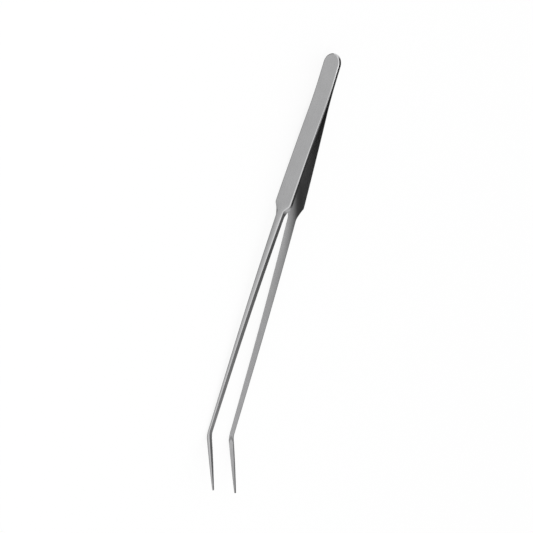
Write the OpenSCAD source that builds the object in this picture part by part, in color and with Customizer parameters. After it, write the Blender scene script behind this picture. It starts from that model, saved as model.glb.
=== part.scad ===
// Long curved tweezers of stainless steel, in millimetres.
// Two arms, mirror images of each other, are welded face to face at their rounded ends.
// Both tips are bent to the same side. The pair lies on the edges of its arms, as it comes to rest on a
// table, with +X from the rounded end towards the tips, +Z up, which is where the tips are bent to,
// and the arms side by side along Y. The origin is at the middle of the footprint, on the table.

/* [Handle] */
// Width of the handle beside its rounded end
handle_w = 12; // [9:0.5:15]
// Width of the handle at the shoulder
heel_w = 12.6; // [10:0.1:15]
// Thickness of the handle
handle_t = 1.1; // [0.8:0.1:1.5]
// Length of the handle, from the rounded end to the shoulder
handle_len = 93; // [75:0.5:105]
// How far the rounded end reaches along the arm
end_len = 6.5; // [5:0.5:9]
// Length over which the two arms are welded together
weld_len = 17; // [12:1:24]

/* [Shank] */
// Length of the shoulder, where the handle narrows into the shank, on the outer face
shoulder_len = 5.5; // [4:0.5:12]
// Length of the shoulder on the inner face
shoulder_in_len = 9; // [5:0.5:12]
// Length of the shank, from the shoulder to the middle of the bend
shank_len = 138.5; // [110:0.5:160]
// Width of the shank's inner face beside the shoulder
shank_in = 6.9; // [5.5:0.1:7.5]
// Width of the shank's outer face beside the shoulder
shank_out = 4.9; // [4:0.1:5.5]
// Thickness of the shank beside the shoulder
shank_t = 1.3; // [1.1:0.1:1.6]
// Width of the shank's inner face halfway to the bend
mid_in = 4.7; // [4:0.1:5.5]
// Width of the shank's outer face halfway to the bend
mid_out = 2.5; // [2:0.1:3.5]
// Thickness of the shank halfway to the bend
mid_t = 1.9; // [1.5:0.1:2.3]
// Width of the shank's inner face at the bend
bend_in = 3.1; // [2.8:0.1:3.7]
// Width of the shank's outer face at the bend
bend_out = 1.2; // [1.1:0.1:2]
// Thickness of the arm at the bend
bend_t = 1.7; // [1.4:0.1:2]

/* [Tip] */
// Length of the tip, from the middle of the bend to its end
tip_len = 33.4; // [26:0.2:40]
// Angle that the tip is bent by, in the plane of the arm's face
bend_angle = 26.5; // [15:0.5:40]
// Radius of the bend, at the middle of the arm
bend_r = 11; // [9:1:16]
// Width of the tip's inner face at the bend, where it flares out from the shank
root_in = 3.5; // [3.1:0.1:4.2]
// Width of the tip's outer face at the bend
root_out = 1.9; // [1.3:0.1:2.6]
// Width of the tip's inner face at its end
tip_in = 0.95; // [0.8:0.05:1.5]
// Width of the tip's outer face at its end
tip_out = 0.8; // [0.6:0.05:1.2]
// Thickness of the tip at its end
tip_t = 0.85; // [0.7:0.05:1.2]
// Fullness of the tip: 1 tapers evenly, more keeps it thick for longer
tip_belly = 1.8; // [1:0.1:2.5]
// Length of the rounded nose at the very end
nose_len = 0.4; // [0.3:0.1:0.6]

/* [Edges] */
// Rounding of the long outer corners
corner_r = 0.7; // [0.3:0.05:1]

/* [Spread of the arms] */
// Length over which an arm curves away from the weld
set_len = 19; // [14:1:28]
// Angle from the middle plane that the arm reaches there
set_angle = 5.1; // [4:0.1:6.5]
// Length over which the arm then curves gently back
bow_len = 160; // [130:5:170]
// Angle from the middle plane that is left where the arm is straight again
bow_angle = 1.05; // [0.5:0.05:2]
// Angle from the middle plane of the bent tip
toe_angle = 0.1; // [0:0.1:1]

/* [Grip teeth] */
// Distance from one groove to the next, on the inner face of each tip
tooth_pitch = 0.8; // [0.6:0.1:1.2]
// Depth of a groove
tooth_depth = 0.15; // [0.1:0.05:0.25]
// Plain stretch between the middle of the bend and the first groove
teeth_start = 1.8; // [1:0.2:10]
// Plain stretch between the last groove and the end of the tip
teeth_end = 1; // [0.8:0.1:2]

/* [Hidden] */

steel = [0.66, 0.66, 0.67];

// Places along the arm, measured on its middle line from the rounded end
shank_from = handle_len + max(shoulder_len, shoulder_in_len);
bend_at = handle_len + shoulder_len + shank_len;
bend_arc = bend_r * bend_angle * PI / 180;
bend_from = bend_at - bend_arc / 2;
bend_to = bend_at + bend_arc / 2;
arm_len = bend_at + tip_len;
groove_count = floor((tip_len - teeth_start - teeth_end) / tooth_pitch);
teeth_from = arm_len - teeth_end - groove_count * tooth_pitch;

// How finely the arm is divided
end_steps = 9;
handle_step = 5;
shoulder_steps = 10;
shank_step = 5;
bend_steps = 8;
corner_steps = 3;

// A corner's rounding takes up at most this share of the outer face's width
corner_share = 0.4;

// The nose closes to this share of the section at the tip's end
nose_share = 0.6;

function mix(a, b, t) = a + (b - a) * min(1, max(0, t));
function smooth(t) = let (c = min(1, max(0, t))) c * c * (3 - 2 * c);
function curve(a, middle, b, t) =
    let (c = min(1, max(0, t)))
    a * (1 - c) * (1 - 2 * c) + middle * 4 * c * (1 - c) + b * c * (2 * c - 1);
function split(from, to, step) =
    let (n = max(1, ceil((to - from) / step))) [for (i = [1:n]) from + (to - from) * i / n];

// The inner face seen from above: a flat weld, a curve outwards, a long curve back, a straight, the
// slight turn inwards at the bend, and a straight on past the tip. Each stretch is its length and
// the angle that it turns through.
stretches = [
    [weld_len, 0],
    [set_len, set_angle],
    [bow_len, bow_angle - set_angle],
    [bend_from - weld_len - set_len - bow_len, 0],
    [bend_arc, toe_angle - bow_angle],
    [arm_len, 0]
];

function advance(x, y, angle, run, turn) =
    turn == 0 ? [x + run * cos(angle), y + run * sin(angle), angle] :
    let (r = run / turn * 180 / PI)
    [x + r * (sin(angle + turn) - sin(angle)), y + r * (cos(angle) - cos(angle + turn)), angle + turn];

function spread(left, i = 0, at = [0, 0, 0]) =
    let (
        whole = stretches[i][0],
        run = min(left, whole),
        next = advance(at[0], at[1], at[2], run, stretches[i][1] * run / whole)
    )
    left <= whole ? next : spread(left - whole, i + 1, next);

// The middle line seen square to the face: straight, the bend upwards, straight again
function middle_line(s) =
    s <= bend_from ? [s, 0, 0] :
    let (
        turned = min(bend_angle, (s - bend_from) / bend_r * 180 / PI),
        past = max(0, s - bend_to)
    )
    [
        bend_from + bend_r * sin(turned) + past * cos(turned),
        bend_r * (1 - cos(turned)) + past * sin(turned),
        turned
    ];

// Section at s: width of the inner face, width of the outer face, thickness
function handle_size(s) =
    let (w = mix(handle_w, heel_w, (s - end_len) / (handle_len - end_len)))
    [w, w, handle_t];
function shank_size(s) =
    let (t = (s - handle_len) / (bend_at - handle_len))
    [
        curve(shank_in, mid_in, bend_in, t),
        curve(shank_out, mid_out, bend_out, t),
        curve(shank_t, mid_t, bend_t, t)
    ];
function tip_size(s) =
    let (t = pow(max(0, s - bend_at) / tip_len, tip_belly))
    [mix(root_in, tip_in, t), mix(root_out, tip_out, t), mix(bend_t, tip_t, t)];
function size_at(s) =
    let (
        inner = smooth((s - handle_len) / shoulder_in_len),
        outer = smooth((s - handle_len) / shoulder_len),
        flare = smooth((s - bend_from) / bend_arc),
        handle = handle_size(s),
        step = shank_size(s) - handle,
        plate = handle + [step[0] * inner, step[1] * outer, step[2] * outer]
    )
    plate + (tip_size(s) - plate) * flare;

// The upper half of a section, from the inner face's edge round to the outer face's, as [up, out]
function half_section(size, lift = 0) =
    let (
        slant = atan2((size[0] - size[1]) / 2, size[2]),
        r = min(corner_r, size[1] * corner_share, size[2] / 2),
        flat = size[1] / 2 - r * tan((90 - slant) / 2)
    )
    [
        [size[0] / 2 - lift * tan(slant), lift],
        for (i = [0:corner_steps]) let (a = slant + (90 - slant) * i / corner_steps)
            [flat + r * cos(a), size[2] - r + r * sin(a)]
    ];

// A point of the left arm: s along its middle line, up across its width, out from its inner face
function place(s, up, out) =
    let (m = middle_line(s), face = spread(m[0] - up * sin(m[2])))
    [face[0] - out * sin(face[2]), face[1] + out * cos(face[2]), m[1] + up * cos(m[2])];

function both_halves(half) = concat(half, [for (i = [len(half) - 1:-1:0]) [-half[i][0], half[i][1]]]);
function ring(s, lift = 0) = [for (p = both_halves(half_section(size_at(s), lift))) place(s, p[0], p[1])];

// Round the end, each corner of the section follows its own ellipse
function end_ring(a) =
    [for (p = both_halves(half_section(handle_size(end_len))))
        let (inset = handle_w / 2 - abs(p[0]))
        place(end_len - (end_len - inset) * cos(a), p[0] * sin(a), p[1])];
function nose_ring() =
    let (middle = tip_t / 2)
    [for (p = both_halves(half_section(size_at(arm_len))))
        place(arm_len, p[0] * nose_share, middle + (p[1] - middle) * nose_share)];

// An arm's rings, from its rounded end to its nose. A shift moves its teeth back along the arm.
function arm_rings(shift = 0) = concat(
    [for (i = [1:end_steps]) end_ring(90 * i / end_steps)],
    [for (s = split(end_len, handle_len, handle_step)) ring(s)],
    [for (s = split(handle_len, shank_from, (shank_from - handle_len) / shoulder_steps)) ring(s)],
    [for (s = split(shank_from, bend_from, shank_step)) ring(s)],
    [for (s = split(bend_from, teeth_from - shift, bend_arc / bend_steps)) ring(s)],
    [for (i = [0:groove_count - 1], part = [0.5, 1])
        ring(teeth_from - shift + (i + part) * tooth_pitch, part < 1 ? tooth_depth : 0)],
    [ring(arm_len - nose_len), nose_ring()]
);

// How the pair lies: on the lower corners of its shoulders and on the outsides of its bends
points = [for (r = arm_rings()) each r];
shoulder = place(handle_len, -heel_w / 2, 0);
lean = min([for (p = points) if (p[0] > handle_len) atan2(p[2] - shoulder[2], p[0] - shoulder[0])]);
lying = [for (p = points) [p[0] * cos(lean) + p[2] * sin(lean), p[2] * cos(lean) - p[0] * sin(lean)]];
along = [for (p = lying) p[0]];
height = [for (p = lying) p[1]];
base = [(min(along) + max(along)) / 2, 0, min(height)];

module arm(shift = 0) {
    rings = arm_rings(shift);
    m = len(rings[0]);
    n = len(rings);
    half = m / 2;
    sides = [for (i = [0:n - 2], j = [0:m - 1]) let (
        a = i * m + j,
        b = i * m + (j + 1) % m,
        c = a + m,
        d = b + m
    ) each [[a, b, d], [a, d, c]]];
    first = [for (j = [0:half - 2]) each [[j, m - 1 - j, j + 1], [j + 1, m - 1 - j, m - 2 - j]]];
    last = [for (t = first) [for (k = [0, 2, 1]) (n - 1) * m + t[k]]];
    polyhedron([for (r = rings) each r], concat(sides, first, last));
}

module lying_down() {
    translate(-base) rotate([0, lean, 0]) children();
}

module left_arm() {
    color(steel) lying_down() arm();
}

// The right arm's teeth stand half a pitch back, so that they close into the left arm's grooves
module right_arm() {
    color(steel) lying_down() mirror([0, 1, 0]) arm(shift = tooth_pitch / 2);
}

left_arm();
right_arm();
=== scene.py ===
# %% [markdown]
# # Long curved tweezers in satin steel
# The real tool is two slim arms of stainless steel, welded together at their rounded ends. Each arm
# is cut from sheet, pressed and ground: a wide thin handle, a shoulder, a long shank that gets
# narrower, a bend, and a fine tip with grip teeth. Such an arm could be cut out of a block with
# modifiers, but its form is really one section that changes along a bent line. So the lesson builds
# it as a loft, which is a skin pulled over a row of cross-sections, and mirrors it for the second arm.

# %% Load the frame
import math

import bpy
import numpy as np
from mathutils import Matrix, Vector


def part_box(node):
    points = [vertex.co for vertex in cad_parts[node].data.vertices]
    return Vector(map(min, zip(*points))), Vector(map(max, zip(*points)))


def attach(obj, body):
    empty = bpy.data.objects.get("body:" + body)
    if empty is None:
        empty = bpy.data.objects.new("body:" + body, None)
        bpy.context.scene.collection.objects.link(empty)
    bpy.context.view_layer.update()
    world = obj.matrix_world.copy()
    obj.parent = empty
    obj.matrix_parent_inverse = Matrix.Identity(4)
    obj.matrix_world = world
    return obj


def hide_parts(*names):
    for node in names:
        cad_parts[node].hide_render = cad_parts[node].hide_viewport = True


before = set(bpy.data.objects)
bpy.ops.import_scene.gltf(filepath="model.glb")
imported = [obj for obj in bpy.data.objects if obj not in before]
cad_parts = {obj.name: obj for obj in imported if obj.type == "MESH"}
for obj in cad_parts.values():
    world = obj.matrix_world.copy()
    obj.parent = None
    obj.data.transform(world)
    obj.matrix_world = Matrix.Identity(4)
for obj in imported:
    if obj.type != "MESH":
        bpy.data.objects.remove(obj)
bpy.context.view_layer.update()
mm = 0.001

# %% [markdown]
# ## The sizes of an arm
# Everything on a long bent piece is easiest to say along its own middle line, from the rounded end
# to the nose, so each place below is a distance along the arm. Coordinates in space could say the same,
# but half of them would change with the bend. A section is seven measures: the width at the inner
# face, the width at the outer face, the thickness, the radius of the inner corners, the radius of the
# outer corners, how far the ground edge reaches onto the inner face, and how far the painted highlight
# line reaches onto the outer face. The handle widens a little up to its heel at the shoulder.
# The shank and the tip are ground narrower outside than inside, which gives them their slanted sides.
# The shoulder has its own length for each measure, because it is longer on the inner face.

# %% Places along the arm
end_reach = 6.5 * mm
shoulder_from = 93 * mm
bend_at, bend_angle, bend_radius = 237 * mm, 26.5, 11 * mm
tip_length = 33.4 * mm
arm_length = bend_at + tip_length

half_arc = bend_radius * math.radians(bend_angle) / 2
bend_from, bend_to = bend_at - half_arc, bend_at + half_arc
print(f"arm {arm_length / mm:.0f} mm, bend from {bend_from / mm:.1f} to {bend_to / mm:.1f} mm")

# %% Sections at those places
handle_section = np.array([12, 12, 1.1, 0.06, 0.55, 0.02, 0.1]) * mm
heel_section = np.array([12.6, 12.6, 1.1, 0.06, 0.55, 0.02, 1]) * mm
shank_start_section = np.array([6.9, 4.9, 1.3, 0.06, 0.65, 0.02, 0.6]) * mm
shank_middle_section = np.array([4.7, 2.5, 1.9, 0.06, 0.7, 0.06, 0.1]) * mm
shank_end_section = np.array([3.1, 1.2, 1.7, 0.06, 0.7, 0.1, 0.05]) * mm
tip_root_section = np.array([3.5, 1.9, 1.7, 0.08, 0.7, 0.3, 0.05]) * mm
tip_end_section = np.array([0.95, 0.8, 0.85, 0.08, 0.4, 0.2, 0.05]) * mm
shoulder_lengths = np.array([9, 5.5, 5.5, 9, 5.5, 9, 5.5]) * mm
tip_fullness = 1.8
print("measures in a section:", len(handle_section))

# %% [markdown]
# ## Two lines that turn
# Seen from above, the inner face of an arm leaves the weld in a short curve and comes back in a long
# gentle one. Seen from the side, the arm is straight up to its bend. A Bezier curve could be drawn for
# each, but it would leave the lengths to chance. Both are lines whose heading changes evenly between a
# few places, so one helper makes both: it adds up many small steps, and every length stays true.

# %% Lines from their headings
weld_end = 17 * mm
set_end = weld_end + 19 * mm
bow_end = set_end + 160 * mm
opening_angle, closing_angle, tip_angle = 5.1, 1.05, 0.1
line_samples = 8001


def turning_line(places, angles):
    """Distance, forward, aside and heading of a line that turns evenly between places."""
    distance = np.linspace(0, arm_length, line_samples)
    heading = np.radians(np.interp(distance, places, angles))
    middle = (heading[1:] + heading[:-1]) / 2
    forward = np.concatenate([[0], np.cumsum(np.cos(middle))]) * distance[1]
    aside = np.concatenate([[0], np.cumsum(np.sin(middle))]) * distance[1]
    return distance, forward, aside, heading


def along(line, distance):
    """Forward, aside and heading of a line at any distances."""
    return [np.interp(distance, line[0], column) for column in line[1:]]


spread_places = [weld_end, set_end, bow_end, bend_from, bend_to]
spread_line = turning_line(spread_places, [0, opening_angle, closing_angle, closing_angle, tip_angle])
bend_line = turning_line([bend_from, bend_to], [0, bend_angle])
print(f"gap between the tips: {2 * along(spread_line, arm_length)[1] / mm:.1f} mm")

# %% [markdown]
# ## From the arm's own measures to a place in space
# A point is given as a distance along the arm, a height up across its width, and a way out from the
# inner face. The bend is worked out first, and then the spread carries the point outwards. A curve
# modifier could bend a straight arm as well, but then the two bends would each need one of their own.

# %% Place points of the left arm


def place(distance, up, out):
    """Points of the left arm before the pair is laid down. All three may be whole arrays."""
    forward, height, turn = along(bend_line, distance)
    x, y, heading = along(spread_line, forward - up * np.sin(turn))
    return np.stack([x - out * np.sin(heading), y + out * np.cos(heading), height + up * np.cos(turn)], -1)


print("end of the tip in mm:", (place(arm_length, 0, 0) / mm).round(1))

# %% [markdown]
# ## The cross-section
# A sheared and tumbled edge is never sharp, and the thin light line that follows a steel edge comes
# from its rounding; here a painted highlight on the corner strips makes it stronger. A bevel modifier
# would round all corners alike. Here every section has a generous radius at its outer corners and a
# very small one at its inner corners, so each is drawn point by point. A half section is enough,
# because the arm is the same above and below.

# %% Sizes of the section at any distance


def ease(t):
    """A smooth start and a smooth end between 0 and 1."""
    return t * t * (3 - 2 * t)


def share_of(distance, start, end):
    """How far each distance lies from a start to an end, from 0 to 1, as a column."""
    return np.clip((distance[:, None] - start) / (end - start), 0, 1)


def blend(first, second, share):
    """A mix that is the first at a share of 0 and the second at a share of 1."""
    return first * (1 - share) + second * share


def curve_through(start, middle, end, share):
    """One smooth curve from a start, through a middle, to an end."""
    early, late = start * (1 - share) * (1 - 2 * share), end * share * (2 * share - 1)
    return early + middle * 4 * share * (1 - share) + late


def section_sizes(distance):
    """The seven measures of a section, one row for each distance."""
    handle = blend(handle_section, heel_section, share_of(distance, end_reach, shoulder_from))
    shank_share = share_of(distance, shoulder_from, bend_at)
    shank = curve_through(shank_start_section, shank_middle_section, shank_end_section, shank_share)
    plate = blend(handle, shank, ease(share_of(distance, shoulder_from, shoulder_from + shoulder_lengths)))
    tip_share = share_of(distance, bend_at, arm_length) ** tip_fullness
    tip = blend(tip_root_section, tip_end_section, tip_share)
    return blend(plate, tip, ease(share_of(distance, bend_from, bend_to)))


print("sections in mm:", (section_sizes(np.array([50, 110, 236, 260]) * mm) / mm).round(2).tolist())

# %% Points of the upper half of each section
corner_steps, flat_steps = 9, 3
most_round, most_worn = 0.4, 1 / 3
quarter = math.pi / 2


def corner(radius, start, end):
    """Up and out of the points round a corner, from its centre. Radii and angles may be columns."""
    angle = start + (end - start) * np.linspace(0, 1, corner_steps + 1)
    return radius * np.cos(angle), radius * np.sin(angle)


def half_sections(sizes, lift):
    """Up and out of each point from the middle of the inner face round to the middle of the outer
    one. Where a groove lifts the inner face by some depth, the section starts that much further out.
    Where a face is narrow, its corners and reaches take no more than a share of it."""
    inner, outer, thick, inner_r, outer_r, ground, highlight_reach = np.split(sizes, sizes.shape[1], axis=1)
    slant = np.arctan2((inner - outer) / 2, thick)
    inner = inner - 2 * lift * np.tan(slant)
    thick = thick - lift
    outer_r = np.minimum(outer_r, np.minimum(outer * most_round, thick / 2))
    inner_edge = inner / 2 - inner_r * np.tan((quarter + slant) / 2)
    outer_edge = outer / 2 - outer_r * np.tan((quarter - slant) / 2)
    inner_up, inner_out = corner(inner_r, -quarter, slant)
    outer_up, outer_out = corner(outer_r, slant, quarter)
    ground_edge = inner_edge - np.minimum(ground, inner_edge * most_worn)
    highlight_edge = outer_edge - np.minimum(highlight_reach, outer_edge * most_worn)
    inner_flat = ground_edge * np.arange(flat_steps + 1) / flat_steps
    outer_flat = highlight_edge * np.arange(flat_steps, -1, -1) / flat_steps
    up = [inner_flat, inner_edge + inner_up, outer_edge + outer_up, outer_flat]
    out = [0 * inner_flat, inner_r + inner_out, thick - outer_r + outer_out, thick + 0 * outer_flat]
    return np.hstack(up), np.hstack(out) + lift


def whole_sections(sizes, lift):
    """The half sections with their mirror images, as closed rings."""
    up, out = half_sections(sizes, lift)
    return np.hstack([up, -up[:, -2:0:-1]]), np.hstack([out, out[:, -2:0:-1]])


handle_up, handle_out = whole_sections(handle_section[None], 0)
ring_size = handle_up.shape[1]
print("points in a ring:", ring_size, "handle width in mm:", round(2 * handle_up.max() / mm, 2))

# %% [markdown]
# ## The rings of an arm
# The rings stand close where the form changes and further apart where it doesn't. Round the end each
# corner of the section follows its own ellipse. The grip teeth are grooves across the inner face of
# the tip. They could be cut with a boolean, but in a loft they only cost rings: three rings make one
# groove, and the narrow lands between the grooves stay flat. The right arm's teeth stand half a pitch
# back, so that they close into the left arm's grooves.

# %% Rings of the rounded end, the plate and the nose
end_steps, first_end_step = 24, 0.5
nose_length, nose_share, nose_steps = 0.4 * mm, 0.6, 6


def end_rings():
    """The first ring is half a step in, because at the very end the section would have no width."""
    share = (np.arange(end_steps)[:, None] + first_end_step) / (end_steps - 1 + first_end_step)
    angles = quarter * share
    inset = handle_section[0] / 2 - np.abs(handle_up)
    distance = end_reach - (end_reach - inset) * np.cos(angles)
    return distance, handle_up * np.sin(angles), handle_out + 0 * angles


def plate_rings(distances, lift):
    """Rings of the handle, the shoulder, the shank and the tip."""
    up, out = whole_sections(section_sizes(distances), lift[:, None])
    return distances[:, None] + 0 * up, up, out


def nose_rings():
    """The nose closes in along an ellipse, down to a small share of the section before it."""
    t = (np.arange(nose_steps)[:, None] + 1) / nose_steps
    share = np.sqrt(1 - t * t * (1 - nose_share**2))
    up, out = whole_sections(tip_end_section[None], 0)
    middle = tip_end_section[2] / 2
    return arm_length - nose_length * (1 - t) + 0 * up, up * share, middle + (out - middle) * share


print("rings round the end:", len(end_rings()[0]), "on the nose:", len(nose_rings()[0]))

# %% Distances of the rings, with the teeth
tooth_pitch, tooth_depth, groove_count = 0.8 * mm, 0.15 * mm, 38
last_land = 1 * mm
shoulder_to = shoulder_from + shoulder_lengths.max()
coarse_step, fine_step = 1.5 * mm, 0.25 * mm
groove_parts, groove_lifts = [0.1, 0.5, 0.9], [0, tooth_depth, 0]


def between(start, end, step):
    """Even distances after the start, up to and with the end."""
    return np.linspace(start, end, math.ceil((end - start) / step) + 1)[1:]


def ring_distances(teeth_shift):
    """Where the rings stand past the rounded end, and how far a groove lifts each."""
    teeth_from = arm_length - last_land - groove_count * tooth_pitch - teeth_shift
    plain = [
        between(end_reach, shoulder_from, coarse_step),
        between(shoulder_from, shoulder_to, fine_step),
        between(shoulder_to, bend_from, coarse_step),
        between(bend_from, teeth_from, fine_step),
    ]
    plain = np.concatenate(plain)
    parts = (np.arange(groove_count)[:, None] + groove_parts).ravel()
    distances = np.concatenate([plain, teeth_from + parts * tooth_pitch, [arm_length - nose_length]])
    lift = np.concatenate([0 * plain, np.tile(groove_lifts, groove_count), [0]])
    return distances, lift


print("rings on the left arm past its end:", len(ring_distances(0)[0]))

# %% Points of a whole arm


def arm_points(teeth_shift):
    """Distance, up and out of every point, one row for each ring."""
    parts = [end_rings(), plate_rings(*ring_distances(teeth_shift)), nose_rings()]
    return [np.vstack(column) for column in zip(*parts)]


left_measures = arm_points(0)
right_measures = arm_points(tooth_pitch / 2)
print("points:", left_measures[0].size, "on the left arm and", right_measures[0].size, "on the right")

# %% [markdown]
# ## How the pair lies
# Let go of, these tweezers can't stand on their thin end, and they fall onto the edges of their arms.
# They then touch the table with the lower corners of the shoulders and the outsides of the bends. A
# rigid body simulation would find the same rest, but two touching places are enough to work it out:
# the slope of the line through them is the angle by which the pair leans. As the pair leans, its
# lowest points move a little, so the line is drawn again through the new ones a few times.

# %% Lay the pair down
lean_attempts = 4
standing = place(*left_measures).reshape(-1, 3)
far_half = standing[:, 0] > arm_length / 2
lean = 0
for attempt in range(lean_attempts):
    height = standing[:, 2] * np.cos(lean) - standing[:, 0] * np.sin(lean)
    near_point = standing[np.where(far_half, np.inf, height).argmin()]
    far_point = standing[np.where(far_half, height, np.inf).argmin()]
    step = far_point - near_point
    lean = math.atan2(step[2], step[0])
    print(f"after attempt {attempt + 1} the pair leans by {math.degrees(lean):.3f} degrees")


def leaned(points):
    """Points, or directions, turned by the angle of the lean."""
    x, z = points[..., 0], points[..., 2]
    turned = [x * np.cos(lean) + z * np.sin(lean), points[..., 1], z * np.cos(lean) - x * np.sin(lean)]
    return np.stack(turned, -1)


low, high = leaned(standing).min(0), leaned(standing).max(0)
base = np.array([(low[0] + high[0]) / 2, 0, low[2]])
print("base in mm:", (base / mm).round(2))

# %% [markdown]
# ## Strips of the section
# Each part of the section has a tone of its own, mostly painted shade and painted reflection, and
# grinding lines of its own. So the faces of the skin are sorted by strip: the inner face, the ground
# edge, the round corner, the painted highlight line beside it and the outer face. The lower side has a
# plain lower corner and no highlight line, and in the tip the inner face is a grip face. The narrow
# reach of the ground edge onto the inner face shows along the lower side of the arm, but along the
# upper side of the grip face. Masks in one big material could sort this out too, but strips that follow
# the mesh stay crisp.

# %% Strips round a ring
# The strip beside the round corner carries the painted highlight line.
upper_names = ["inner_face", "ground_edge", "round_corner", "painted_highlight_line", "outer_face"]
strip_names = upper_names + ["grip_face", "lower_corner"]
round_steps, side_steps, reach_steps = 5, 1, 1
edge_steps = reach_steps + corner_steps + side_steps + corner_steps - round_steps
strip_steps = [flat_steps, edge_steps, round_steps, reach_steps, flat_steps]
upper_strips = [name for name, steps in zip(upper_names, strip_steps) for _ in range(steps)]
lower_side = {"round_corner": "lower_corner", "painted_highlight_line": "outer_face"}
ring_strips = upper_strips + [lower_side.get(name, name) for name in reversed(upper_strips)]
grip_strips = ["grip_face" if name == "inner_face" else name for name in ring_strips]
upper_reach, lower_reach = flat_steps, -flat_steps - 1
ring_strips[upper_reach] = "inner_face"
grip_strips[lower_reach] = "grip_face"
print("faces round a ring:", len(ring_strips), "on ground edges:", ring_strips.count("ground_edge"))

# %% [markdown]
# ## Skin over the rings
# Four-sided faces join each ring to the next, and rows of faces close the two ends. The mesh is
# written point by point, because a ready-made loft would lose track of the strips. The points also
# keep their own measures on the arm, so that a grinding line can follow the arm through its bend,
# which no flat projection would.

# %% Faces of a loft


def loft_faces(ring_places):
    """Faces of the skin over rings at these distances, and the strip that each one lies on."""
    faces, strips = [], []
    for ring in range(len(ring_places) - 1):
        for column in range(ring_size):
            a, b = ring * ring_size + column, ring * ring_size + (column + 1) % ring_size
            faces.append((a, b, b + ring_size, a + ring_size))
        strips += grip_strips if ring_places[ring] > bend_from else ring_strips
    last = (len(ring_places) - 1) * ring_size
    for column in range(ring_size // 2):
        across = [column, -column % ring_size, -column - 1 + ring_size, column + 1]
        face = list(dict.fromkeys(across))
        faces.append(face)
        faces.append([last + k for k in reversed(face)])
        strips += [ring_strips[column], grip_strips[column]]
    return faces, [strip_names.index(name) for name in strips]


print("faces:", len(loft_faces(left_measures[0][:, 0])[0]))

# %% Make an arm
sharp_angle = math.radians(24)
mirror_y = np.array([1, -1, 1])


def make_arm(name, measures, mirrored):
    """A mesh object over the rings, in its place on the table."""
    points = leaned(place(*measures)) - base
    faces, strips = loft_faces(measures[0][:, 0])
    if mirrored:
        points = points * mirror_y
        faces = [face[::-1] for face in faces]
    mesh = bpy.data.meshes.new(name)
    mesh.from_pydata(points.reshape(-1, 3).tolist(), [], faces)
    mesh.polygons.foreach_set("material_index", strips)
    measure = mesh.attributes.new("arm_measure", "FLOAT_VECTOR", "POINT")
    measure.data.foreach_set("vector", np.stack(measures, -1).astype(np.float32).ravel())
    mesh.shade_smooth()
    mesh.set_sharp_from_angle(angle=sharp_angle)
    arm = bpy.data.objects.new(name, mesh)
    bpy.context.scene.collection.objects.link(arm)
    even = arm.modifiers.new("Even light on the flats", "WEIGHTED_NORMAL")
    even.keep_sharp = True
    return arm


left_steel = make_arm("left_arm_steel", left_measures, mirrored=False)
right_steel = make_arm("right_arm_steel", right_measures, mirrored=True)
arms = {"left_arm": left_steel, "right_arm": right_steel}
for node, arm in arms.items():
    corners = np.array([v.co for v in arm.data.vertices])
    off = np.abs(np.array([corners.min(0), corners.max(0)]) - np.array(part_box(node))).max()
    print(f"{arm.name}: {len(arm.data.polygons)} faces, off the solid's box by {off / mm:.3f} mm at most")

# %% [markdown]
# ## Satin steel
# Bare steel has no colour of its own but a tone, and a wheel that ran along the arm has left it
# satin: very fine lines, all one way, that spread a reflection across them. The lines are noise that
# is stretched along the arm. They change the tone and the roughness a little, and a weak bump lets
# them catch the light. An anisotropic shader would spread the reflection too, but would show no lines
# from close by. Noise keeps near its middle, so its useful part is spread over the whole change.
# Three small helpers add the nodes, and one function puts a finish together.

# %% Helpers for shader nodes


def add_math(material, operation, *values):
    """A math node over sockets or plain numbers."""
    node = material.node_tree.nodes.new("ShaderNodeMath")
    node.operation = operation
    for socket, value in zip(node.inputs, values):
        if isinstance(value, bpy.types.NodeSocket):
            material.node_tree.links.new(value, socket)
        else:
            socket.default_value = value
    return node.outputs[0]


def add_range(material, value, old_range, new_range):
    """A map range node: the old range becomes the new one, and the value stays inside it."""
    node = material.node_tree.nodes.new("ShaderNodeMapRange")
    limits = zip(("From Min", "From Max", "To Min", "To Max"), (*old_range, *new_range))
    for name, limit in limits:
        node.inputs[name].default_value = limit
    material.node_tree.links.new(value, node.inputs["Value"])
    return node.outputs["Result"]


def add_noise(material, measure, sizes, detail):
    """Noise over the arm's own measures, with a grain of its own size along, up and out."""
    nodes, links = material.node_tree.nodes, material.node_tree.links
    stretch = nodes.new("ShaderNodeVectorMath")
    stretch.operation = "MULTIPLY"
    stretch.inputs[1].default_value = [1 / size for size in sizes]
    links.new(measure, stretch.inputs[0])
    noise = nodes.new("ShaderNodeTexNoise")
    noise.inputs["Scale"].default_value = 1
    noise.inputs["Detail"].default_value = detail
    links.new(stretch.outputs[0], noise.inputs["Vector"])
    return noise.outputs["Fac"]


line_length, line_width, line_depth = 14 * mm, 0.09 * mm, 0.02 * mm
patch_size = 9 * mm
line_detail, patch_detail = 3, 2
print(f"grinding lines {line_length / mm:.0f} mm long and {line_width / mm:.2f} mm apart")

# %% [markdown]
# ## Tone along and across the arm
# What a steel face looks like depends on what it faces, so the tone of the real arm changes from place
# to place. In a studio that is white all round, reflections alone don't show that, and so the reflections
# and the shade are painted into the tone, as pairs of a distance and a tone in a colour ramp. The
# painted shade on the inner face ends along a slanted line at the shoulder, and the grip face begins
# along an arch, so a tone can come later at some heights than at others. The ground faces of the shank
# are a little crowned, so there painted shading also changes the tone evenly from the lower edge to
# the upper one. An image texture could hold all this, but it would need an unwrapped mesh.

# %% Tone along the arm
steel_blue = 1.01


def tones_from(start, *pairs):
    """Pairs of a distance past a place, in mm, and a tone, with the distances along the whole arm."""
    return [(start + past * mm, tone) for past, tone in pairs]


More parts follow.
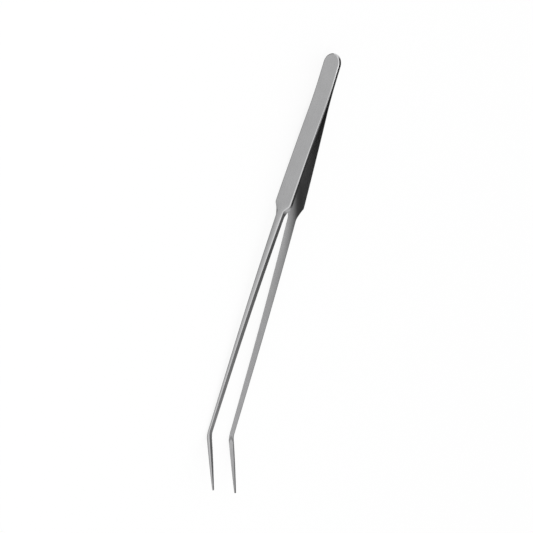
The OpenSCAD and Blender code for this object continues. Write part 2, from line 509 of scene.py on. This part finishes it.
def tone_along(material, distance, up, tones, slope, arch):
    """A colour ramp over the distance along the arm, from pairs of a distance and a tone. With a slope
    each tone comes that much later for each metre up. With an arch it comes later by the arch times
    the square of the height, so both edges lag behind the middle."""
    later = add_math(material, "MULTIPLY", up, add_math(material, "MULTIPLY_ADD", up, arch, slope))
    share = add_math(material, "DIVIDE", add_math(material, "SUBTRACT", distance, later), arm_length)
    ramp = material.node_tree.nodes.new("ShaderNodeValToRGB")
    elements = ramp.color_ramp.elements
    elements.remove(elements[1])
    for place_of_tone, _ in tones[1:]:
        elements.new(place_of_tone / arm_length)
    for element, (_, tone) in zip(elements, tones):
        element.color = (tone, tone, tone * steel_blue, 1)
    material.node_tree.links.new(share, ramp.inputs["Fac"])
    return ramp.outputs["Color"]


print("steel is bluer than grey by a factor of", steel_blue)

# %% Tone across the shank
rise_full_at = 106 * mm


# This paints shading: one side of a face lighter than the other, as a crowned face would show it.
def lighter_upwards(material, distance, up, rise, rise_end):
    """A factor that grows by the rise for each metre up. It sets in at the shoulder, is full a little
    past it and from there gets evenly less, down to nothing at its end."""
    coming = add_range(material, distance, (shoulder_from, rise_full_at), (0, rise))
    going = add_range(material, distance, (rise_full_at, rise_end), (0, -rise))
    return add_math(material, "MULTIPLY_ADD", up, add_math(material, "ADD", coming, going), 1)


print(f"the rise is full {(rise_full_at - shoulder_from) / mm:.0f} mm past the heel")

# %% Satin steel as a material
noise_range = (0.3, 0.7)
rough_change = 0.15


def around(middle, change):
    """The range that lies a share of the middle to both sides of it."""
    return middle * (1 - change), middle * (1 + change)


def satin_steel(
    name, tones, roughness=0.3, tone_change=0.05, line_bump=0.25, slope=0, arch=0, rise=0, rise_end=1
):
    """Steel whose tone follows the arm, with fine lines along it and soft patches of wear. The rise
    ends at a distance along the arm, and the usual one lies far past the nose."""
    material = bpy.data.materials.new(name)
    material.use_nodes = True
    nodes, links = material.node_tree.nodes, material.node_tree.links
    shader = nodes["Principled BSDF"]
    shader.inputs["Metallic"].default_value = 1
    attribute = nodes.new("ShaderNodeAttribute")
    attribute.attribute_name = "arm_measure"
    measure = attribute.outputs["Vector"]
    parts = nodes.new("ShaderNodeSeparateXYZ")
    links.new(measure, parts.inputs[0])
    distance, up = parts.outputs[:2]

    lines = add_noise(material, measure, (line_length, line_width, line_width), line_detail)
    patches = add_noise(material, measure, (patch_size,) * 3, patch_detail)
    line_tone = add_range(material, lines, noise_range, around(1, tone_change))
    patch_tone = add_range(material, patches, noise_range, around(1, tone_change / 2))
    worn = add_math(material, "MULTIPLY", line_tone, patch_tone)
    lighter = lighter_upwards(material, distance, up, rise, rise_end)
    factor = add_math(material, "MULTIPLY", worn, lighter)
    scaled = nodes.new("ShaderNodeVectorMath")
    scaled.operation = "SCALE"
    links.new(tone_along(material, distance, up, tones, slope, arch), scaled.inputs[0])
    links.new(factor, scaled.inputs["Scale"])
    links.new(scaled.outputs[0], shader.inputs["Base Color"])

    line_rough = add_range(material, lines, noise_range, around(roughness, rough_change))
    links.new(line_rough, shader.inputs["Roughness"])
    bump = nodes.new("ShaderNodeBump")
    bump.inputs["Strength"].default_value = line_bump
    bump.inputs["Distance"].default_value = line_depth
    links.new(lines, bump.inputs["Height"])
    links.new(bump.outputs["Normal"], shader.inputs["Normal"])
    return material


print("finishes to make:", strip_names)

# %% [markdown]
# ## Outer face, light line and corners
# The broad outer face is an even satin on the handle and slightly crowned on the shank, where a
# painted highlight makes its upper side lighter. The thin light line along its upper edge is a painted
# highlight. The round corner has a painted highlight too at the rounded end and on the shank. In
# between, painted shade makes it darker along the handle, until it is as dark as the ground edge. The
# lower corner faces the table and has painted shade, so the lower outline is a little darker. Corners
# are smoother than faces, so their grinding lines are weaker. One finish for the whole arm would be
# less work, but the arm would lose the lines that draw its edges.

# %% Finishes of the outer side
finishes = {}
corner_grain = {"tone_change": 0.04, "line_bump": 0.1}

# The outer face's changes of tone along the shank and its lighter upper side (the rise) are painted
# reflection.
outer_tones = tones_from(0, (0, 0.398))
outer_tones += tones_from(shoulder_from, (-1, 0.398), (7, 0.415), (22, 0.415), (47, 0.445))
outer_tones += tones_from(bend_at, (21, 0.435)) + tones_from(arm_length, (0, 0.38))
finishes["outer_face"] = satin_steel("satin_outer_face", outer_tones, rise=140)

# Painted highlight: the thin light line along the upper edge of the outer face.
highlight_line_tones = tones_from(0, (0, 0.45), (2, 0.66))
highlight_line_tones += tones_from(bend_at, (0, 0.6)) + tones_from(arm_length, (0, 0.4))
finishes["painted_highlight_line"] = satin_steel("painted_highlight_line", highlight_line_tones, **corner_grain)

# Painted highlight on the round corner at the rounded end and on the shank, painted shade along the
# handle.
round_tones = tones_from(0, (0, 0.45), (2, 0.7), (8, 0.7), (22, 0.38), (42, 0.22), (58, 0.04), (80, 0.022))
round_tones += tones_from(shoulder_from, (0.6, 0.022), (2, 0.4), (6, 0.62))
round_tones += tones_from(bend_at, (0, 0.6)) + tones_from(arm_length, (0, 0.4))
finishes["round_corner"] = satin_steel("round_corner", round_tones, **corner_grain)

# Painted shade: the lower corner, which faces the table.
lower_tones = tones_from(0, (0, 0.08)) + tones_from(shoulder_from, (-1, 0.08), (7, 0.14))
lower_tones += tones_from(bend_at, (0, 0.14)) + tones_from(arm_length, (0, 0.25))
finishes["lower_corner"] = satin_steel("lower_corner", lower_tones, **corner_grain)
print("finishes so far:", sorted(finishes))

# %% [markdown]
# ## Inner face and ground edge
# The inner faces of the handle see little but each other, so they look dark and dull, darkest just
# before the shoulder, and this shade is painted into their tone. Past it the arms are slim and stand
# apart, and the painted shade fades over a few centimetres. The ground edge has a painted reflection
# round the very end and on the slant of the shoulder, and painted shade along the rest of the arm.
# Real reflections could do some of this, but in a white studio they are too light, so the tones paint it.

# %% Finishes of the inner side
# Painted shade between the arms: dark on the handle, fading past the shoulder along a slanted line and
# darker towards the upper edge at the start of the shank.
inner_tones = tones_from(0, (0, 0.17), (60, 0.17), (68, 0.135), (74, 0.1), (80, 0.07), (88, 0.08))
inner_tones += tones_from(shoulder_from, (-2, 0.12), (1, 0.175), (5, 0.235), (10, 0.28), (17, 0.325))
inner_tones += tones_from(shoulder_from, (25, 0.355), (37, 0.365), (97, 0.375))
inner_tones += tones_from(bend_from, (0, 0.395))
finishes["inner_face"] = satin_steel(
    "satin_inner_face", inner_tones, roughness=0.42, slope=3, rise=-70, rise_end=170 * mm
)

# Painted reflection round the very end and on the slant of the shoulder, painted shade along the rest of
# the ground edge.
ground_tones = tones_from(0, (0, 0.75), (1, 0.55), (2, 0.04), (4, 0.015), (9, 0.02))
ground_tones += tones_from(shoulder_from, (0.6, 0.025), (1.9, 0.28), (2.6, 0.4), (4.2, 0.38), (6, 0.05))
ground_tones += tones_from(shoulder_from, (29, 0.045), (60, 0.08), (97, 0.12), (122, 0.135))
ground_tones += tones_from(bend_at, (-7, 0.165), (0, 0.13), (8, 0.1), (23, 0.1))
ground_tones += tones_from(arm_length, (0, 0.085))
finishes["ground_edge"] = satin_steel(
    "ground_edge", ground_tones, roughness=0.4, tone_change=0.08, line_bump=0.3
)
print("places with a tone on the inner face:", len(inner_tones), "on the ground edge:", len(ground_tones))

# %% [markdown]
# ## Grip face
# The teeth are too fine to be seen from a distance. What does show is where the grip face begins, in
# the bend: a darker arched line, which is a painted shadow of the small step there, and light ground
# steel after it that gets darker towards the nose. A shallow groove could show the line too, but a dip
# in the tones is simpler and as clear.

# %% Finish of the grip face
# Painted shadow: the dark arched line where the grip face begins.
grip_tones = tones_from(0, (0, 0.395))
grip_tones += tones_from(bend_at, (-0.7, 0.395), (-0.2, 0.18), (0.5, 0.18), (1.1, 0.45), (9, 0.41))
grip_tones += tones_from(bend_at, (21, 0.37)) + tones_from(arm_length, (0, 0.32))
finishes["grip_face"] = satin_steel("satin_grip_face", grip_tones, arch=1000)

for arm in arms.values():
    for strip in strip_names:
        arm.data.materials.append(finishes[strip])
print("materials:", [material.name for material in left_steel.data.materials])

# %% [markdown]
# ## Hand the arms to the frame
# Each arm stands for the solid of the same name, and that solid is hidden. The real arms are welded
# into one rigid tool, so both ride on its root. They could also be joined into one mesh, but as two
# pieces they keep the names that the solids have.

# %% Ride and replace
for node, arm in arms.items():
    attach(arm, "root")
    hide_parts(node)
print("replaced:", sorted(arms))

# %% [markdown]
# ## A white table
# Steel shows its surroundings, so a plain white studio matters more here than lamps do. The table is
# a pale diffuse sheet. For the camera and for reflections most of it glows white, which keeps the
# picture's ground clean, and the diffuse rest still takes the soft shadow of the arms. More light
# would whiten the table as well, but it would bleach the steel too.

# %% Table
table_half = 4.0
table_colour = (0.85, 0.85, 0.85, 1)
white_share = 0.85


def white_table():
    """One square face under the tweezers."""
    mesh = bpy.data.meshes.new("table")
    corners = [(-table_half, -table_half, 0), (table_half, -table_half, 0)]
    corners += [(table_half, table_half, 0), (-table_half, table_half, 0)]
    mesh.from_pydata(corners, [], [(0, 1, 2, 3)])
    table = bpy.data.objects.new("table", mesh)
    bpy.context.scene.collection.objects.link(table)
    return table


def table_surface():
    """Pale and diffuse, with a white glow for the camera, for reflections and for what shines through."""
    material = bpy.data.materials.new("pale_table")
    material.use_nodes = True
    nodes, links = material.node_tree.nodes, material.node_tree.links
    nodes.remove(nodes["Principled BSDF"])
    diffuse = nodes.new("ShaderNodeBsdfDiffuse")
    diffuse.inputs["Color"].default_value = table_colour
    glow = nodes.new("ShaderNodeEmission")
    rays = nodes.new("ShaderNodeLightPath")
    seen = rays.outputs["Is Camera Ray"]
    for kind in ("Is Glossy Ray", "Is Transmission Ray"):
        seen = add_math(material, "MAXIMUM", seen, rays.outputs[kind])
    mix = nodes.new("ShaderNodeMixShader")
    links.new(add_math(material, "MULTIPLY", seen, white_share), mix.inputs["Fac"])
    links.new(diffuse.outputs[0], mix.inputs[1])
    links.new(glow.outputs[0], mix.inputs[2])
    links.new(mix.outputs[0], nodes["Material Output"].inputs["Surface"])
    return material


table = white_table()
table.data.materials.append(table_surface())
print("table", 2 * table_half, "m wide")

# %% [markdown]
# ## Soft studio light
# A photographer would put such a shiny tool in a white tent. The world is that tent: a white dome at
# strength 1, so a tone renders about as it is written. One large soft lamp stands in front and above,
# where the upper corners of the arms can show it as a light line. A sun lamp would be simpler, but its
# shadow would be hard.

# %% World and lamp
dome_colour, dome_strength = (1, 1, 1, 1), 1
world = bpy.data.worlds.new("white_dome")
world.use_nodes = True
background = world.node_tree.nodes["Background"]
background.inputs["Color"].default_value = dome_colour
background.inputs["Strength"].default_value = dome_strength
bpy.context.scene.world = world

lamp_distance, lamp_height_angle, lamp_forward = 1.6, math.radians(55), 0.1
lamp_width, lamp_power = 1.2, 6
lamp_data = bpy.data.lights.new("softbox", "AREA")
lamp_data.shape = "DISK"
lamp_data.size = lamp_width
lamp_data.energy = lamp_power
lamp = bpy.data.objects.new("softbox", lamp_data)
lamp_aside, lamp_height = math.cos(lamp_height_angle), math.sin(lamp_height_angle)
lamp.location = (lamp_forward, -lamp_distance * lamp_aside, lamp_distance * lamp_height)
lamp.rotation_euler = (-lamp.location).to_track_quat("-Z", "Y").to_euler()
bpy.context.scene.collection.objects.link(lamp)
print("softbox at", [round(v, 2) for v in lamp.location])

# %% [markdown]
# ## The camera
# The picture looks down on the tool from far away, 38 degrees steeper than straight at the faces of
# the arms, and from a little back from the tips. The tool is then turned in the picture, so that its
# rounded end is up. A camera could be aimed with a constraint, but then its roll would be hard to set.
# Here the view is given on the tool's own axes and leaned with it.

# %% Camera
off_face, back_from_tips, roll = (math.radians(angle) for angle in (38, 4.95, 16.745))
view_distance, view_width = 3.0, 315.03 * mm
middle_of_tool = 133 * mm
middle_right, middle_down = 2.32 * mm, 1.55 * mm


def direction(x, y, z):
    """A direction on the tool's own axes, as it is in the scene."""
    return leaned(np.array([x, y, z]))


length = direction(1, 0, 0)
across = direction(0, -math.cos(off_face), math.sin(off_face))
upwards = direction(0, math.sin(off_face), math.cos(off_face))
to_camera = across * math.cos(back_from_tips) - length * math.sin(back_from_tips)
downwards = length * math.cos(back_from_tips) + across * math.sin(back_from_tips)
right = math.cos(roll) * upwards - math.sin(roll) * downwards
down = math.sin(roll) * upwards + math.cos(roll) * downwards
middle = direction(middle_of_tool, 0, 0) - base
aim = middle - middle_right * right - middle_down * down

camera_data = bpy.data.cameras.new("camera")
camera_data.angle = 2 * math.atan(view_width / 2 / view_distance)
camera = bpy.data.objects.new("camera", camera_data)
turn = Matrix([right, -down, to_camera]).transposed().to_4x4()
camera.matrix_world = Matrix.Translation(Vector(aim + view_distance * to_camera)) @ turn
bpy.context.scene.collection.objects.link(camera)
bpy.context.scene.camera = camera
print("camera at", [round(v, 3) for v in camera.location])
print("angle of view in degrees:", round(math.degrees(camera_data.angle), 2))

# %% View settings
bpy.context.scene.view_settings.view_transform = "Standard"
